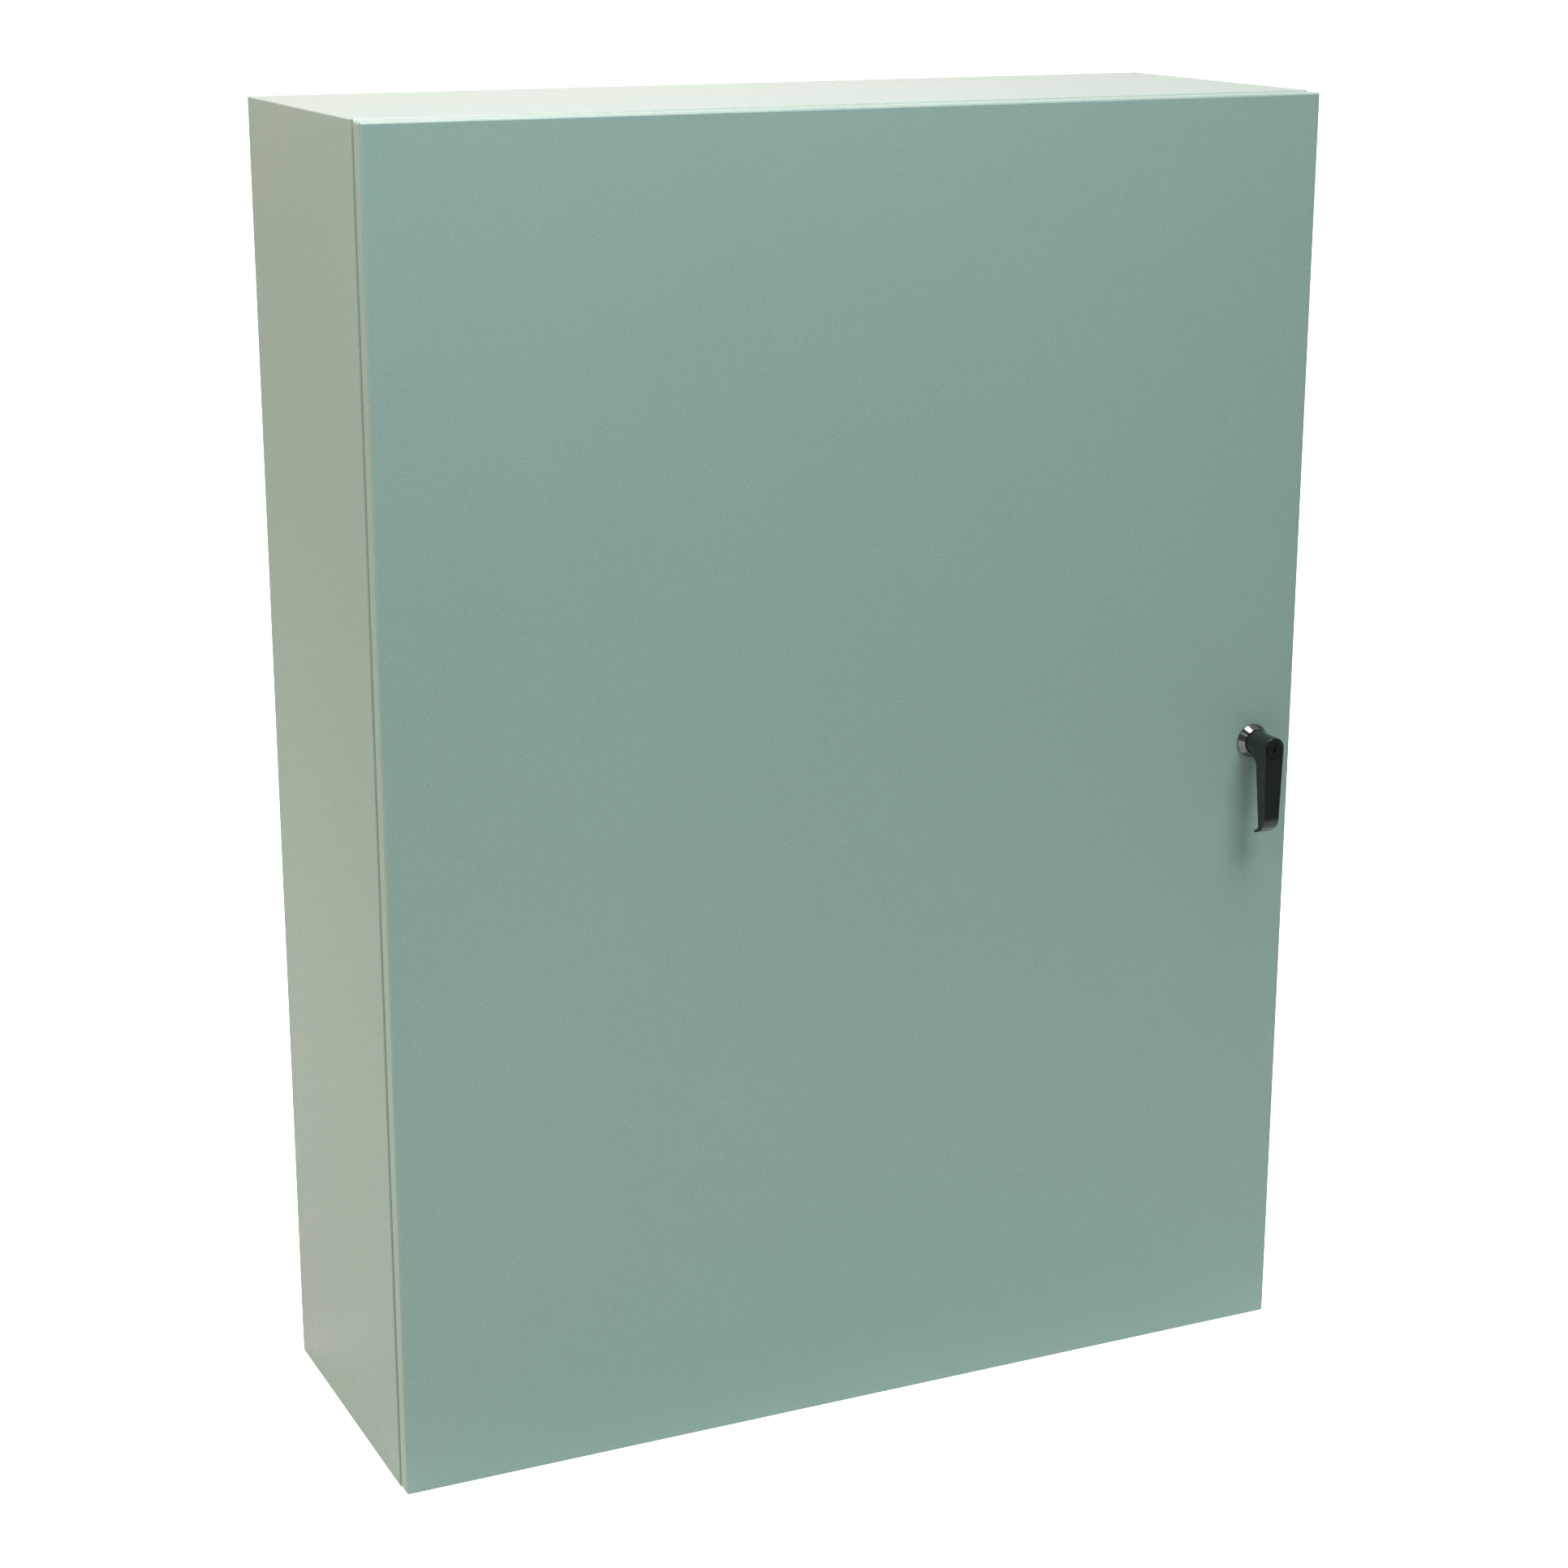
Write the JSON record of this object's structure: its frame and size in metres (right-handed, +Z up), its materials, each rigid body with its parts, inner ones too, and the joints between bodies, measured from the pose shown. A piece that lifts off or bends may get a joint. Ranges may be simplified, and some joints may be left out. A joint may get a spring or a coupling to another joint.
{
  "type": "industrial switchboard cabinet",
  "caption": "Wall-mounted sheet-steel switchboard cabinet with a hinged, gasketed door, a lever handle working a three-point latch, and switchgear on an inner mounting panel.",
  "frame": {"origin": "centre of the body's footprint, on its underside (the body without its door)", "axes": "+X along the width, from the hinge side to the latch side; +Y from the door to the back panel; +Z up"},
  "size_m": [0.9144, 0.366, 1.2192],
  "materials": {
    "enclosure_paint": "semi-gloss fine-texture powder coat, grey-green",
    "panel_paint": "semi-gloss white powder coat",
    "zinc_plated_steel": "bright zinc plate",
    "chrome_plate": "polished chrome plate",
    "lock_metal": "dark satin plated die-cast",
    "handle_coating": "black satin coating on die-cast zinc",
    "seal_foam": "foamed polyurethane, matt",
    "pocket_plastic": "grained grey polystyrene",
    "duct_plastic": "satin grey PVC",
    "guide_plastic": "black nylon",
    "roller_plastic": "natural acetal",
    "breaker_case": "fine-grained black thermoset",
    "toggle_plastic": "satin black moulding",
    "breaker_light": "light grey thermoplastic",
    "terminal_plastic": "grey polyamide",
    "support_resin": "red-brown glass-filled resin",
    "copper": "tinned-edge bare copper",
    "brass": "drawn brass"
  },
  "bodies": {
    "enclosure": {"back_panel": "enclosure_paint", "left_side_panel": "enclosure_paint", "right_side_panel": "enclosure_paint", "top_panel": "enclosure_paint", "bottom_panel": "enclosure_paint", "gland_plate": "zinc_plated_steel", "gland_plate_gasket": "seal_foam", "gland_plate_screws": "zinc_plated_steel", "panel_studs": "zinc_plated_steel", "panel_nuts": "zinc_plated_steel", "mounting_panel": "panel_paint", "hinge_frame_leaves": "zinc_plated_steel", "hinge_screws": "zinc_plated_steel", "body_ground_stud": "brass", "din_rails": "zinc_plated_steel", "wiring_ducts": "duct_plastic", "duct_covers": "duct_plastic", "main_breaker_case": "breaker_case", "main_breaker_lugs": "copper", "phase_busbars": "copper", "busbar_supports": "support_resin", "busbar_screws": "zinc_plated_steel", "branch_breaker_cases": "breaker_light", "terminal_blocks": "terminal_plastic", "terminal_end_stops": "terminal_plastic", "neutral_bar": "brass", "earth_bar": "brass", "bar_supports": "support_resin", "bar_screws": "zinc_plated_steel"},
    "door": {"door_skin": "enclosure_paint", "door_stiffeners": "enclosure_paint", "door_gasket": "seal_foam", "document_pocket": "pocket_plastic", "hinge_door_leaves": "zinc_plated_steel", "hinge_pins": "zinc_plated_steel", "handle_housing": "chrome_plate", "handle_gasket": "seal_foam", "housing_nut": "zinc_plated_steel", "rod_guides": "guide_plastic", "door_ground_stud": "brass"},
    "handle": {"handle_lever": "handle_coating", "handle_spindle": "zinc_plated_steel", "latch_cam": "zinc_plated_steel", "cam_screw": "zinc_plated_steel"},
    "lock": {"lock_plug": "lock_metal"},
    "upper_rod": {"upper_rod": "zinc_plated_steel", "upper_roller_pin": "zinc_plated_steel"},
    "upper_roller": {"upper_roller": "roller_plastic"},
    "lower_rod": {"lower_rod": "zinc_plated_steel", "lower_roller_pin": "zinc_plated_steel"},
    "lower_roller": {"lower_roller": "roller_plastic"},
    "main_toggle": {"main_breaker_toggle": "toggle_plastic"},
    "toggle_1": {"branch_toggle_1": "toggle_plastic"},
    "toggle_2": {"branch_toggle_2": "toggle_plastic"},
    "toggle_3": {"branch_toggle_3": "toggle_plastic"},
    "toggle_4": {"branch_toggle_4": "toggle_plastic"},
    "toggle_5": {"branch_toggle_5": "toggle_plastic"},
    "toggle_6": {"branch_toggle_6": "toggle_plastic"}
  },
  "joints": [
    {"name": "door_swing", "type": "hinge", "parent": "enclosure", "child": "door", "pos_m": [-0.4482, -0.165, 0.6096], "axis": [0, 0, -1], "range_deg": [0, 120]},
    {"name": "handle_turn", "type": "hinge", "parent": "door", "child": "handle", "pos_m": [0.41275, -0.173, 0.6096], "axis": [0, 1, 0], "range_deg": [0, 90]},
    {"name": "lock_turn", "type": "hinge", "parent": "handle", "child": "lock", "pos_m": [0.41275, -0.213, 0.6096], "axis": [0, 1, 0], "range_deg": [0, 90]},
    {"name": "upper_rod_slide", "type": "slide", "parent": "door", "child": "upper_rod", "axis": [0, 0, -1], "range_m": [0, 0.02283]},
    {"name": "lower_rod_slide", "type": "slide", "parent": "door", "child": "lower_rod", "axis": [0, 0, 1], "range_m": [0, 0.02283]},
    {"name": "upper_roller_spin", "type": "hinge", "parent": "upper_rod", "child": "upper_roller", "pos_m": [0.42025, -0.143, 1.2092], "axis": [1, 0, 0], "continuous": true},
    {"name": "lower_roller_spin", "type": "hinge", "parent": "lower_rod", "child": "lower_roller", "pos_m": [0.40525, -0.143, 0.01], "axis": [1, 0, 0], "continuous": true},
    {"name": "main_breaker_switch", "type": "hinge", "parent": "enclosure", "child": "main_toggle", "pos_m": [-0.235, 0.041, 0.905], "axis": [-1, 0, 0], "range_deg": [0, 48]},
    {"name": "branch_switch_1", "type": "hinge", "parent": "enclosure", "child": "toggle_1", "pos_m": [-0.0445, 0.0545, 0.72], "axis": [-1, 0, 0], "range_deg": [0, 52]},
    {"name": "branch_switch_2", "type": "hinge", "parent": "enclosure", "child": "toggle_2", "pos_m": [-0.0267, 0.0545, 0.72], "axis": [-1, 0, 0], "range_deg": [0, 52]},
    {"name": "branch_switch_3", "type": "hinge", "parent": "enclosure", "child": "toggle_3", "pos_m": [-0.0089, 0.0545, 0.72], "axis": [-1, 0, 0], "range_deg": [0, 52]},
    {"name": "branch_switch_4", "type": "hinge", "parent": "enclosure", "child": "toggle_4", "pos_m": [0.0089, 0.0545, 0.72], "axis": [-1, 0, 0], "range_deg": [0, 52]},
    {"name": "branch_switch_5", "type": "hinge", "parent": "enclosure", "child": "toggle_5", "pos_m": [0.0267, 0.0545, 0.72], "axis": [-1, 0, 0], "range_deg": [0, 52]},
    {"name": "branch_switch_6", "type": "hinge", "parent": "enclosure", "child": "toggle_6", "pos_m": [0.0445, 0.0545, 0.72], "axis": [-1, 0, 0], "range_deg": [0, 52]}
  ],
  "couplings": [
    {"joint": "upper_rod_slide", "follows": "handle_turn", "m_per_rad": 0.01441},
    {"joint": "lower_rod_slide", "follows": "handle_turn", "m_per_rad": 0.01441}
  ]
}
